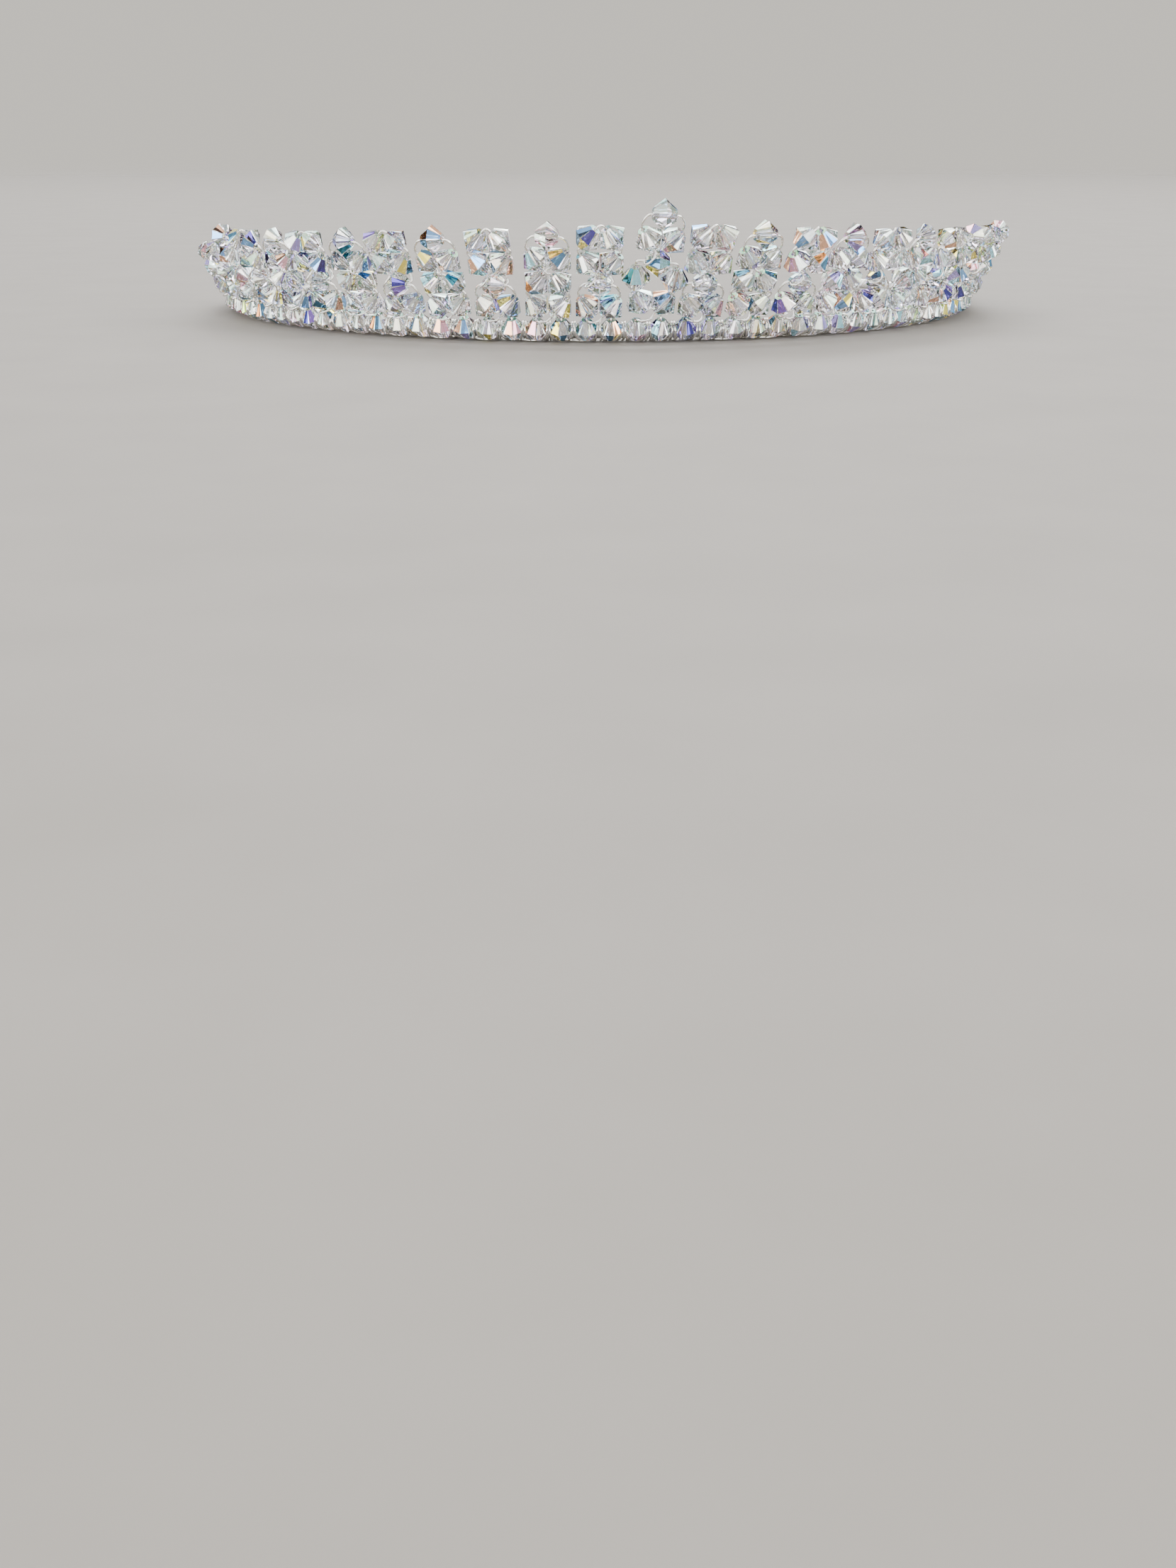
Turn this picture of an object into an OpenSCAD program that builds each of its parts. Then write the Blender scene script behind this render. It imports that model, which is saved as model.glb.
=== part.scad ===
// Crystal tiara: sprays of drilled bicone crystals, threaded on fine wire and bound to a slim
// open band. It stands on the band's lower edge, with its front towards -Y.

/* [Band] */
// Radius of the front half circle of the band, to the middle of its thickness
arc_r = 70; // [66:1:80]
// Radius of the two arcs that turn in behind the widest place
tail_r = 48; // [42:1:60]
// Angle that each of those arcs turns through
tail_turn = 44; // [34:1:52]
// Thickness of the band strip, from its inner to its outer face
band_t = 1.2; // [1:0.1:1.6]
// Height of the band strip
band_h = 2; // [1.7:0.1:2.6]
// Diameter of the ball on each end of the band
ball_d = 2.4; // [2.2:0.1:2.6]

/* [Wire] */
// Diameter of the fine wire
wire_d = 0.36; // [0.26:0.02:0.38]
// Gap between the binding wraps and the band
bind_gap = 0.05; // [0.04:0.01:0.1]
// Length of band left bare at each end
bare_end = 20; // [12:1:26]
// Length over which a wire bends, where it leaves a crystal
bend_len = 0.65; // [0.6:0.05:0.75]
// That length in the taller wire loops at the ends of a level crystal
loop_len = 0.9; // [0.7:0.05:1]
// How far crossing wires swing to the front or back of the crystals
wire_swing = 2.1; // [2:0.05:2.3]

/* [Crystals] */
// Width of a crystal over its corners
bead_d = 5; // [4.8:0.1:5.2]
// Length of a crystal along its hole
bead_l = 3.8; // [3.7:0.1:4]
// Width of the flat table at each end of a crystal, over its corners
table_d = 1.9; // [1.7:0.1:2.1]
// Size of the crystals in the outer sprays, as a share of those next to the centre
end_size = 0.88; // [0.86:0.02:0.96]
// Width of the smaller crystals in the row along the band
row_d = 4.3; // [4.2:0.1:4.5]
// Length of those crystals
row_l = 3.5; // [3.3:0.1:3.8]
// Diameter of the drilled hole
bore_d = 0.9; // [0.84:0.02:1]

/* [Sprays] */
// Lean of the sprays outwards, from upright
flare = 26; // [15:1:35]
// Lean of a paired crystal to its spray's axis
tilt = 36; // [34:1:40]
// Gap between neighbours in the row along the band
row_gap = 0.1; // [0.08:0.02:0.4]
// Gap between the two crystals of a pair
pair_gap = 0.2; // [0.15:0.05:0.4]
// Gap where two pairs meet at the middle of a spray
cross_gap = 0.25; // [0.2:0.05:0.5]
// Gap where two pairs meet at the sides of a spray, next to the centre of the tiara
side_gap = 0.4; // [0.3:0.1:0.8]
// Gap between a level crystal and the pair that opens below it
bar_gap = 0.3; // [0.3:0.05:0.5]
// Gap between a level crystal and the lower ends of the pair above it
tip_gap = 0.7; // [0.65:0.05:0.85]
// Gap under the level crystal on top of a spray, next to the centre of the tiara
top_gap = 0.7; // [0.5:0.1:1]
// Gap between the row and the binding
seat_gap = 0.12; // [0.08:0.02:0.3]
// Gap between the row and the pair above it
lift = 0.5; // [0.45:0.05:0.65]
// That gap in the centre spray
tower_lift = 1.2; // [0.9:0.1:1.6]
// That gap in the lowest sprays, at the ends of the band
roof_lift = 1.15; // [1.15:0.05:1.3]
// Height of the row's lower ends above the ground
seat_h = 0.62; // [0.56:0.02:0.9]
// Greatest sideways lean of a spray, from uneven hand work
hand_lean = 4; // [0:0.5:4.5]

/* [Hidden] */

// Crystal: half length, and radius of the waist and the table over their flats
bead_sides = 8;
over_flats = cos(180 / bead_sides);
bead_h = bead_l / 2;
bead_r = bead_d / 2 * over_flats;
table_r = table_d / 2 * over_flats;
// Slope of a crystal's flank: how much radius it loses along its axis
flank = (bead_r - table_r) / bead_h;
// The same of a row crystal
row_h = row_l / 2;
row_r = row_d / 2 * over_flats;

// Binding and band, from the ground up
sleeve = bind_gap + wire_d;
band_mid_z = sleeve + band_h / 2;
band_half = band_t / 2 + sleeve;

// Foot of every spray: the lower end of the row's crystals, outside the binding
foot_out = band_half + seat_gap + row_r * cos(flare) - row_h * sin(flare);
// Half the distance between a spray's two row crystals, and between sprays along the band
row_u = row_r + row_gap / 2;
pitch = 4 * row_u * arc_r / (arc_r + foot_out + row_h * sin(flare));

// Length of the band from the middle of the front to the widest place, and to its end
quarter = arc_r * PI / 2;
half_len = quarter + tail_r * tail_turn * PI / 180;

// Sprays to each side of the centre one, and the last of the low ones behind them
sprays = 12;
last_spray = floor((half_len - bare_end) / pitch - 0.5);
// Sprays over which the crystals get smaller, their gaps close up and the pairs lean more,
// counted from the centre one
closing = 8;

// Kind of spray, from the centre outwards; behind these, all are roofs
KINDS = [
    "tower", "square", "peak", "square", "peak", "square", "peak",
    "square", "peak", "square", "peak", "oval", "oval", "triangle"
];
// Share of the hand lean, from the centre outwards: column 0 left side, column 1 right side
LEAN = [
    [0.9, 0.9], [0.2, 0.5], [0.7, 0.3], [-0.1, 0.6], [-0.5, -0.2], [-0.4, -0.6], [0.2, -0.5],
    [-0.2, -0.3], [0.4, -0.4], [0, -0.1], [-0.4, 0.2], [0.3, 0.4], [-0.3, -0.1], [0.2, -0.2]
];

// Extra lean of the paired crystals in the outer sprays
end_tilt = 12;
// Centre spray: sideways place and lean of its upright pair, height of the level crystal over it
upright_u = 1.65 * bead_h;
upright_lean = 6;
upright_rise = 1.5 * bead_h;
// Half the distance between two wires in one hole
wire_apart = 0.6 * wire_d;
// Straight stretch of wire beyond a crystal's table, before it bends
mouth = 0.625 * wire_d;
// Reach of the bends under the row, which stay off the ground
row_reach = 0.625 * wire_d;

// Flats of a circle round the strip's edges, and around a wire; steps of a wire's bend
edge_sides = 12;
wire_sides = 5;
link_steps = 3;
round_fn = 48;
arc_fn = 120;

// The band's line: heading, centre and radius of its arc at a length from the middle of the front
function heading(s) = abs(s) <= quarter ? s / arc_r * 180 / PI
    : sign(s) * (90 + (abs(s) - quarter) / tail_r * 180 / PI);
function arc_centre(s) = abs(s) <= quarter ? 0 : sign(s) * (arc_r - tail_r);
function arc_radius(s) = abs(s) <= quarter ? arc_r : tail_r;

// Places its children on the band's line: +X along the band, -Y outwards
module at_band(s) {
    translate([arc_centre(s), 0, 0])
        rotate([0, 0, heading(s)])
            translate([0, -arc_radius(s), 0])
                children();
}

// Places its children at a spray's foot, with +Z along the spray
module at_spray(s) {
    at_band(s)
        translate([0, -foot_out, seat_h])
            rotate([flare, 0, 0])
                children();
}

// Outline of a strip with rounded edges, grown by a margin
module strip_outline(margin) {
    w = band_t + 2 * margin;
    h = band_h + 2 * margin;
    square([w, h - w], center = true);
    for (side = [-1, 1])
        translate([0, side * (h - w) / 2])
            circle(d = w, $fn = edge_sides);
}

// Draws its children and their mirror image, left and right
module both_sides() {
    children();
    mirror([1, 0, 0])
        children();
}

// Sweeps a flat outline along the right half of the band's line, up to a length from its middle
module along_band(reach) {
    translate([0, 0, band_mid_z]) {
        rotate([0, 0, 270])
            rotate_extrude(angle = 90, $fn = arc_fn)
                translate([arc_r, 0])
                    children();
        translate([arc_r - tail_r, 0, 0])
            rotate_extrude(angle = (reach - quarter) / tail_r * 180 / PI, $fn = arc_fn)
                translate([tail_r, 0])
                    children();
    }
}

module band() {
    color("silver")
        both_sides() {
            along_band(half_len)
                strip_outline(0);
            at_band(half_len)
                translate([0, 0, band_mid_z])
                    sphere(d = ball_d, $fn = round_fn);
        }
}

module binding() {
    color("gainsboro")
        both_sides()
            along_band(half_len - bare_end)
                difference() {
                    strip_outline(sleeve);
                    strip_outline(bind_gap);
                }
}

// One drilled crystal of radius r over its flats and half length h, with its hole along Z
module crystal(r, h) {
    tip = h / (1 - table_d / bead_d);
    difference() {
        intersection() {
            cube([4 * r, 4 * r, 2 * h], center = true);
            intersection_for (k = [0 : bead_sides / 2 - 1])
                rotate([0, 0, k * 360 / bead_sides])
                    rotate([90, 0, 0])
                        linear_extrude(4 * r, center = true)
                            polygon([[r, 0], [0, tip], [-r, 0], [0, -tip]]);
        }
        cylinder(d = bore_d, h = 4 * h, center = true, $fn = round_fn);
    }
}

// Height of a leaning crystal's highest corner above its middle
function corner(t) = bead_h * cos(t) + table_r * sin(t);
// Distance of a paired crystal from the spray's axis
function pair_u(t) = max(bead_h * sin(t) + table_r * cos(t), bead_r * cos(t)) + pair_gap / 2;
// Step from a pair that opens upwards to a level crystal over it, without the gap
function step_open_bar(t) = bead_r * sin(t) + bead_r - (pair_u(t) - bead_r * cos(t)) * flank;
// Step between a level crystal and a pair that closes on it, without the gap: the pair's
// tables meet the level flanks with their outer or their inner edges
function step_bar_tips(t) = bead_r - (pair_u(t) - bead_h * sin(t)) * flank + bead_h * cos(t)
    + table_r * abs(sin(t) - flank * cos(t));

// Crystals of a spray, each as sideways place, height along the spray and lean.
// The first two are the row's pair. Share g narrows the gaps, t is the lean of the pairs.
function row_pair() = [[-row_u, row_h, 0], [row_u, row_h, 0]];
function open_pair(t, z) = [[-pair_u(t), z, -t], [pair_u(t), z, t]];
function closed_pair(t, z) = [[-pair_u(t), z, t], [pair_u(t), z, -t]];
function bar(z) = [[0, z, 90]];

function first_z(t, gap = lift) = row_l + gap + corner(t);
function across(t) = 2 * corner(t) + cross_gap;
function beside(t, g) = 2 * corner(t) + max(side_gap * g, cross_gap);
function under_top(g) = max(top_gap * g, bar_gap);

function roof(t) = concat(row_pair(), closed_pair(t, first_z(t, roof_lift)));

function triangle(t) = let(
    v = first_z(t),
    top = v + step_open_bar(t) + bar_gap
) concat(row_pair(), open_pair(t, v), bar(top));

function oval(t) = let(
    v = first_z(t),
    mid = v + step_open_bar(t) + bar_gap,
    roof = mid + step_open_bar(t) + bar_gap
) concat(row_pair(), open_pair(t, v), closed_pair(t, roof), bar(mid));

function peak(t, g) = let(
    v = first_z(t),
    roof = v + beside(t, g),
    v2 = roof + across(t),
    top = v2 + step_open_bar(t) + under_top(g)
) concat(row_pair(), open_pair(t, v), closed_pair(t, roof), open_pair(t, v2), bar(top));

function square_top(t, g) = let(
    v = first_z(t),
    mid = v + step_open_bar(t) + bar_gap,
    v2 = mid + step_bar_tips(t) + tip_gap,
    roof = v2 + beside(t, g)
) concat(row_pair(), open_pair(t, v), bar(mid), open_pair(t, v2), closed_pair(t, roof));

function tower(t, g) = let(
    v = first_z(t, tower_lift),
    side_z = v + corner(t) + bead_h + bar_gap,
    mid = side_z + upright_rise,
    v2 = mid + step_bar_tips(t) + tip_gap,
    top = v2 + step_open_bar(t) + under_top(g)
) concat(
    row_pair(), open_pair(t, v),
    [[-upright_u, side_z, -upright_lean], [upright_u, side_z, upright_lean]],
    bar(mid), open_pair(t, v2), bar(top)
);

function crystals_of(kind, t, g) =
    kind == "tower" ? tower(t, g)
    : kind == "peak" ? peak(t, g)
    : kind == "square" ? square_top(t, g)
    : kind == "oval" ? oval(t)
    : kind == "triangle" ? triangle(t)
    : roof(t);

// Way of the wire through a spray. Columns: crystal, 1 to pass it upwards or to the right or
// else -1, share of the swing to the front or back on the way to the next crystal.
TOWER_WAY = [
    [0, 1, 1], [3, 1, 0], [5, 1, 0], [6, -1, 1], [7, 1, 0], [9, 1, 0],
    [8, -1, 1], [6, -1, 0], [4, -1, 0], [2, -1, 1], [1, -1, 0]
];
PEAK_WAY = [
    [0, 1, 1], [3, 1, 0], [5, 1, 0.3], [6, 1, 0], [8, 1, 0],
    [7, -1, 0.3], [4, -1, 0], [2, -1, 1], [1, -1, 0]
];
SQUARE_WAY = [
    [0, 1, 1], [3, 1, 0], [4, -1, 1], [5, 1, 0], [7, 1, 0],
    [8, -1, 0], [6, -1, 1], [4, -1, 0], [2, -1, 1], [1, -1, 0]
];
OVAL_WAY = [
    [0, 1, 1], [3, 1, 0], [6, -1, 0], [4, 1, 0], [5, -1, 0], [6, -1, 0], [2, -1, 1], [1, -1, 0]
];
TRIANGLE_WAY = [[0, 1, 1], [3, 1, 0], [4, -1, 0], [2, -1, 1], [1, -1, 0]];
ROOF_WAY = [[0, 1, 0], [2, 1, 0], [3, -1, 0], [1, -1, 0]];
function way_of(kind) =
    kind == "tower" ? TOWER_WAY
    : kind == "peak" ? PEAK_WAY
    : kind == "square" ? SQUARE_WAY
    : kind == "oval" ? OVAL_WAY
    : kind == "triangle" ? TRIANGLE_WAY
    : ROOF_WAY;

// Sprays get smaller, close up and lean more towards the ends of the band
function gap_share(i) = max(0, 1 - abs(i) / closing);
function pair_tilt(i) = tilt + end_tilt * (1 - gap_share(i));
function size_share(i) = end_size + (1 - end_size) * gap_share(i);
function spray_kind(i) = abs(i) < len(KINDS) ? KINDS[abs(i)] : "roof";
function spray_lean(i) = abs(i) < len(LEAN) ? hand_lean * LEAN[abs(i)][i < 0 ? 0 : 1] : 0;

// A crystal of a spray that is scaled by a size and leans about the crossing over the row, with
// its radius and half length as columns 3 and 4. The row's crystals stay as they are.
function shaped(c, size, lean) = c[1] <= row_h ? concat(c, [row_r, row_h])
    : let(u = size * c[0], z = size * (c[1] - row_l)) [
        u * cos(lean) + z * sin(lean), row_l + z * cos(lean) - u * sin(lean), c[2] + lean,
        size * bead_r, size * bead_h
    ];
function spray_crystals(i) = [
    for (c = crystals_of(spray_kind(i), pair_tilt(i), gap_share(i)))
        shaped(c, size_share(i), spray_lean(i))
];

// The origin is under the middle of the tiara's box
front_reach = arc_r + foot_out + bead_d / 2 + sin(flare) * spray_crystals(0)[9][1];
back_reach = tail_r * sin(tail_turn) + ball_d / 2;
module in_frame() {
    translate([0, (front_reach - back_reach) / 2, 0])
        children();
}

module crystals(list) {
    color("aliceblue")
        for (c = list)
            translate([c[0], 0, c[1]])
                rotate([0, c[2], 0])
                    crystal(c[3], c[4]);
}

module spray(i) {
    at_spray(i * pitch)
        crystals(spray_crystals(i));
}

module end_sprays(side) {
    for (i = [sprays + 1 : last_spray])
        spray(side * i);
}

// Wire: a round thread swept along points, with the frame carried from ring to ring
function unit(v) = v / norm(v);
function way_at(p, i) = let(n = len(p) - 1)
    i == 0 ? unit(p[1] - p[0])
    : i == n ? unit(p[n] - p[n - 1])
    : unit(unit(p[i] - p[i - 1]) + unit(p[i + 1] - p[i]));
function square_to(v, t) = unit(v - (v * t) * t);

module thread(p) {
    n = len(p);
    ways = [for (i = [0 : n - 1]) way_at(p, i)];
    seed = abs(ways[0][1]) < 0.9 ? [0, 1, 0] : [1, 0, 0];
    sides = [
        for (i = 0, v = square_to(seed, ways[0]); i < n;
            i = i + 1, v = i < n ? square_to(v, ways[i]) : v) v
    ];
    ring = [
        for (i = [0 : n - 1], k = [0 : wire_sides - 1])
            let(a = 360 * k / wire_sides)
            p[i] + wire_d / 2 * (cos(a) * sides[i] + sin(a) * cross(ways[i], sides[i]))
    ];
    skin = [
        for (i = [0 : n - 2], k = [0 : wire_sides - 1])
            let(next = (k + 1) % wire_sides, a = i * wire_sides, b = a + wire_sides)
            each [[a + k, b + k, b + next], [a + k, b + next, a + next]]
    ];
    caps = [
        [for (k = [0 : wire_sides - 1]) k],
        [for (k = [wire_sides - 1 : -1 : 0]) (n - 1) * wire_sides + k]
    ];
    polyhedron(ring, concat(skin, caps));
}

// Where a wire that passes crystal c enters it (end -1) or leaves it (end 1), w off its axis
function axis_of(c) = [sin(c[2]), 0, cos(c[2])];
function hole_end(c, dir, end, w) = [c[0], w, c[1]]
    + end * dir * (c[4] + mouth) * axis_of(c);
function is_level(c) = abs(c[2]) > (90 + tilt) / 2;

// Inner points of the bend from a to b, whose wire leaves along a_way and arrives along b_way
function bend(a, a_way, b, b_way, reach, swing) = let(
    p1 = a + reach * a_way + swing,
    p2 = b - reach * b_way + swing
) [
    for (k = [1 : link_steps - 1])
        let(f = k / link_steps, r = 1 - f)
        r * r * r * a + 3 * r * r * f * p1 + 3 * r * f * f * p2 + f * f * f * b
];

// Points from crystal to crystal along step k of a spray's way
function way_points(cs, way, k) = let(
    last = k == len(way) - 1,
    side = k < len(way) / 2 ? -1 : 1,
    next_side = k + 1 < len(way) / 2 ? -1 : 1,
    c = cs[way[k][0]],
    d = way[k][1],
    c2 = last ? c : cs[way[k + 1][0]],
    d2 = last ? d : way[k + 1][1],
    a = hole_end(c, d, 1, side * wire_apart),
    b = hole_end(c2, d2, -1, next_side * wire_apart),
    flat = way[k][2] == 0,
    reach = flat && (is_level(c) || is_level(c2)) ? loop_len : bend_len,
    swing = [0, side * wire_swing * way[k][2], 0]
) concat(
    [hole_end(c, d, -1, side * wire_apart), a],
    last ? [] : bend(a, d * axis_of(c), b, d2 * axis_of(c2), reach, swing)
);

// A point given beside the foot of the spray at s, as along the band, across and up the spray
function along_at(s) = [cos(heading(s)), sin(heading(s)), 0];
function out_at(s) = [sin(heading(s)), -cos(heading(s)), 0];
function placed(s, p) = [arc_centre(s), 0, seat_h]
    + (arc_radius(s) + foot_out) * out_at(s)
    + p[0] * along_at(s)
    + p[1] * (sin(flare) * [0, 0, 1] - cos(flare) * out_at(s))
    + p[2] * (cos(flare) * [0, 0, 1] + sin(flare) * out_at(s));

// Wire through the sprays from one number to another, with a short bend under the row between them
function spray_points(i) = let(cs = spray_crystals(i), way = way_of(spray_kind(i))) [
    for (k = [0 : len(way) - 1], p = way_points(cs, way, k)) placed(i * pitch, p)
];
function row_bend(i) = let(
    a = placed(i * pitch, [row_u, wire_apart, -mouth]),
    b = placed((i + 1) * pitch, [-row_u, -wire_apart, -mouth])
) bend(a, [0, 0, -1], b, [0, 0, 1], row_reach, [0, 0, 0]);

module wire(first, last) {
    color("silver")
        thread([
            for (i = [first : last])
                each concat(spray_points(i), i == last ? [] : row_bend(i))
        ]);
}

in_frame() band();
in_frame() binding();
in_frame() spray(0);  // spray_centre
for (i = [1 : sprays]) {
    tag = i < 10 ? str("0", i) : str(i);
    in_frame() spray(-i);
    in_frame() spray(i);
}
in_frame() end_sprays(-1);  // end_sprays_left
in_frame() end_sprays(1);  // end_sprays_right
in_frame() wire(-last_spray, -1);  // wire_left
in_frame() wire(0, 0);  // wire_centre
in_frame() wire(1, last_spray);  // wire_right
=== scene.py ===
import math

import bpy
import numpy as np
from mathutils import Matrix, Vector


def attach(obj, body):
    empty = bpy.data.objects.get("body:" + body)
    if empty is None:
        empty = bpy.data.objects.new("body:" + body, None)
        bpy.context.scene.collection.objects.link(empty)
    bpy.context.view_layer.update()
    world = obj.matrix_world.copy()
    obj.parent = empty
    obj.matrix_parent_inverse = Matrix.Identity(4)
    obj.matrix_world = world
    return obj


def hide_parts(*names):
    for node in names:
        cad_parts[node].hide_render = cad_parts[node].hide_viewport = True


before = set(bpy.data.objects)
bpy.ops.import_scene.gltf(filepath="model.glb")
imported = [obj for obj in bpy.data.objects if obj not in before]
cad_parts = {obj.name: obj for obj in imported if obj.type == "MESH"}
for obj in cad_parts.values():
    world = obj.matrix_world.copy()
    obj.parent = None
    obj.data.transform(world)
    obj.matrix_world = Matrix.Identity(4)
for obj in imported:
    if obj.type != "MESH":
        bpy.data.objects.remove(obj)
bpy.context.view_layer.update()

# The same layout as the frame, in millimetres and degrees
MM = 0.001
# Band: radius of the front arc and of the two behind it, their turn, the strip and its end balls
ARC_R, TAIL_R, TAIL_TURN = 70.0, 48.0, 44.0
BAND_T, BAND_H, BALL_D = 1.2, 2.0, 2.4
# Wire: its diameter, its gap from the band, band left bare at each end, and its bends
WIRE_D, BIND_GAP, BARE_END = 0.36, 0.05, 20.0
BEND_LEN, LOOP_LEN, SWING = 0.65, 0.9, 2.1
# Crystals of the sprays, with their share of size in the outer ones, and crystals of the row
BEAD_D, BEAD_L, TABLE_D, END_SIZE = 5.0, 3.8, 1.9, 0.88
ROW_D, ROW_L, BORE_D, BEAD_SIDES = 4.3, 3.5, 0.9, 8
# Lean of a spray outwards, of its pairs, of the pairs in the outer sprays, and of hand work
FLARE, TILT, END_TILT, HAND_LEAN = 26.0, 36.0, 12.0, 4.0
# Gaps between crystals, and between the row and the binding
ROW_GAP, PAIR_GAP, CROSS_GAP, SIDE_GAP = 0.1, 0.2, 0.25, 0.4
BAR_GAP, TIP_GAP, TOP_GAP, SEAT_GAP = 0.3, 0.7, 0.7, 0.12
# Heights of the lowest pair over the row, and of the row over the ground
LIFT, TOWER_LIFT, ROOF_LIFT, SEAT_H = 0.5, 1.2, 1.15, 0.62
# Tall sprays on each side, and those over which the crystals get smaller
SPRAYS, CLOSING = 12, 8
OVER_FLATS = math.cos(math.pi / BEAD_SIDES)
BEAD_H, BEAD_R, TABLE_R = BEAD_L / 2, BEAD_D / 2 * OVER_FLATS, TABLE_D / 2 * OVER_FLATS
ROW_H, ROW_R = ROW_L / 2, ROW_D / 2 * OVER_FLATS
# The centre spray's upright pair: sideways place, lean, and height of the level crystal over it
UPRIGHT_U, UPRIGHT_LEAN, UPRIGHT_RISE = 1.65 * BEAD_H, 6.0, 1.5 * BEAD_H
# Half the distance of two wires in one hole, and straight wire beyond a crystal's table
WIRE_APART, MOUTH = 0.6 * WIRE_D, 0.625 * WIRE_D

# Kind of spray, from the centre outwards; behind these, all are roofs
KINDS = ["tower", "square", "peak", "square", "peak", "square", "peak",
         "square", "peak", "square", "peak", "oval", "oval", "triangle"]
# Share of the hand lean, from the centre outwards: left side, right side
LEAN = [(0.9, 0.9), (0.2, 0.5), (0.7, 0.3), (-0.1, 0.6), (-0.5, -0.2), (-0.4, -0.6), (0.2, -0.5),
        (-0.2, -0.3), (0.4, -0.4), (0, -0.1), (-0.4, 0.2), (0.3, 0.4), (-0.3, -0.1), (0.2, -0.2)]
# Way of the wire through a spray: crystal, 1 to pass it upwards or to the right or else -1, and
# share of the swing to the front or back on the way to the next crystal
WAYS = {
    "tower": [(0, 1, 1), (3, 1, 0), (5, 1, 0), (6, -1, 1), (7, 1, 0), (9, 1, 0),
              (8, -1, 1), (6, -1, 0), (4, -1, 0), (2, -1, 1), (1, -1, 0)],
    "peak": [(0, 1, 1), (3, 1, 0), (5, 1, 0.3), (6, 1, 0), (8, 1, 0),
             (7, -1, 0.3), (4, -1, 0), (2, -1, 1), (1, -1, 0)],
    "square": [(0, 1, 1), (3, 1, 0), (4, -1, 1), (5, 1, 0), (7, 1, 0),
               (8, -1, 0), (6, -1, 1), (4, -1, 0), (2, -1, 1), (1, -1, 0)],
    "oval": [(0, 1, 1), (3, 1, 0), (6, -1, 0), (4, 1, 0), (5, -1, 0), (6, -1, 0), (2, -1, 1),
             (1, -1, 0)],
    "triangle": [(0, 1, 1), (3, 1, 0), (4, -1, 0), (2, -1, 1), (1, -1, 0)],
    "roof": [(0, 1, 0), (2, 1, 0), (3, -1, 0), (1, -1, 0)],
}


def cosd(a):
    return math.cos(math.radians(a))


def sind(a):
    return math.sin(math.radians(a))


SLEEVE = BIND_GAP + WIRE_D
BAND_MID_Z = SLEEVE + BAND_H / 2
BAND_HALF = BAND_T / 2 + SLEEVE
FOOT_OUT = BAND_HALF + SEAT_GAP + ROW_R * cosd(FLARE) - ROW_H * sind(FLARE)
ROW_U = ROW_R + ROW_GAP / 2
PITCH = 4 * ROW_U * ARC_R / (ARC_R + FOOT_OUT + ROW_H * sind(FLARE))
QUARTER = ARC_R * math.pi / 2
HALF_LEN = QUARTER + TAIL_R * math.radians(TAIL_TURN)
LAST_SPRAY = math.floor((HALF_LEN - BARE_END) / PITCH - 0.5)
FLANK = (BEAD_R - TABLE_R) / BEAD_H


# Crystals of a spray, each as sideways place, height along the spray and lean t
def corner(t):
    """Height of a leaning crystal's highest corner above its middle."""
    return BEAD_H * cosd(t) + TABLE_R * sind(t)


def pair_u(t):
    """Distance of a paired crystal from the spray's axis."""
    return max(BEAD_H * sind(t) + TABLE_R * cosd(t), BEAD_R * cosd(t)) + PAIR_GAP / 2


def step_open_bar(t):
    """Step from a pair that opens upwards to a level crystal over it, without the gap."""
    return BEAD_R * sind(t) + BEAD_R - (pair_u(t) - BEAD_R * cosd(t)) * FLANK


def step_bar_tips(t):
    """Step between a level crystal and a pair whose tips meet it, without the gap."""
    return (BEAD_R - (pair_u(t) - BEAD_H * sind(t)) * FLANK + BEAD_H * cosd(t)
            + TABLE_R * abs(sind(t) - FLANK * cosd(t)))


def crystals_of(kind, t, g):
    """Crystals of a kind of spray, the row's pair first; share g narrows the gaps."""
    def opened(z):
        return [(-pair_u(t), z, -t), (pair_u(t), z, t)]

    def closed(z):
        return [(-pair_u(t), z, t), (pair_u(t), z, -t)]

    first = ROW_L + LIFT + corner(t)
    beside = 2 * corner(t) + max(SIDE_GAP * g, CROSS_GAP)
    top_step = step_open_bar(t) + max(TOP_GAP * g, BAR_GAP)
    row = [(-ROW_U, ROW_H, 0), (ROW_U, ROW_H, 0)]
    if kind == "roof":
        return row + closed(first - LIFT + ROOF_LIFT)
    if kind == "triangle":
        return row + opened(first) + [(0, first + step_open_bar(t) + BAR_GAP, 90)]
    if kind == "oval":
        mid = first + step_open_bar(t) + BAR_GAP
        return row + opened(first) + closed(mid + step_open_bar(t) + BAR_GAP) + [(0, mid, 90)]
    if kind == "peak":
        roof = first + beside
        second = roof + 2 * corner(t) + CROSS_GAP
        return row + opened(first) + closed(roof) + opened(second) + [(0, second + top_step, 90)]
    if kind == "square":
        mid = first + step_open_bar(t) + BAR_GAP
        second = mid + step_bar_tips(t) + TIP_GAP
        return row + opened(first) + [(0, mid, 90)] + opened(second) + closed(second + beside)
    first += TOWER_LIFT - LIFT
    side_z = first + corner(t) + BEAD_H + BAR_GAP
    mid = side_z + UPRIGHT_RISE
    second = mid + step_bar_tips(t) + TIP_GAP
    uprights = [(-UPRIGHT_U, side_z, -UPRIGHT_LEAN), (UPRIGHT_U, side_z, UPRIGHT_LEAN)]
    return row + opened(first) + uprights + [(0, mid, 90)] + opened(second) + [
        (0, second + top_step, 90)]


def spray_kind(i):
    return KINDS[abs(i)] if abs(i) < len(KINDS) else "roof"


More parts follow.
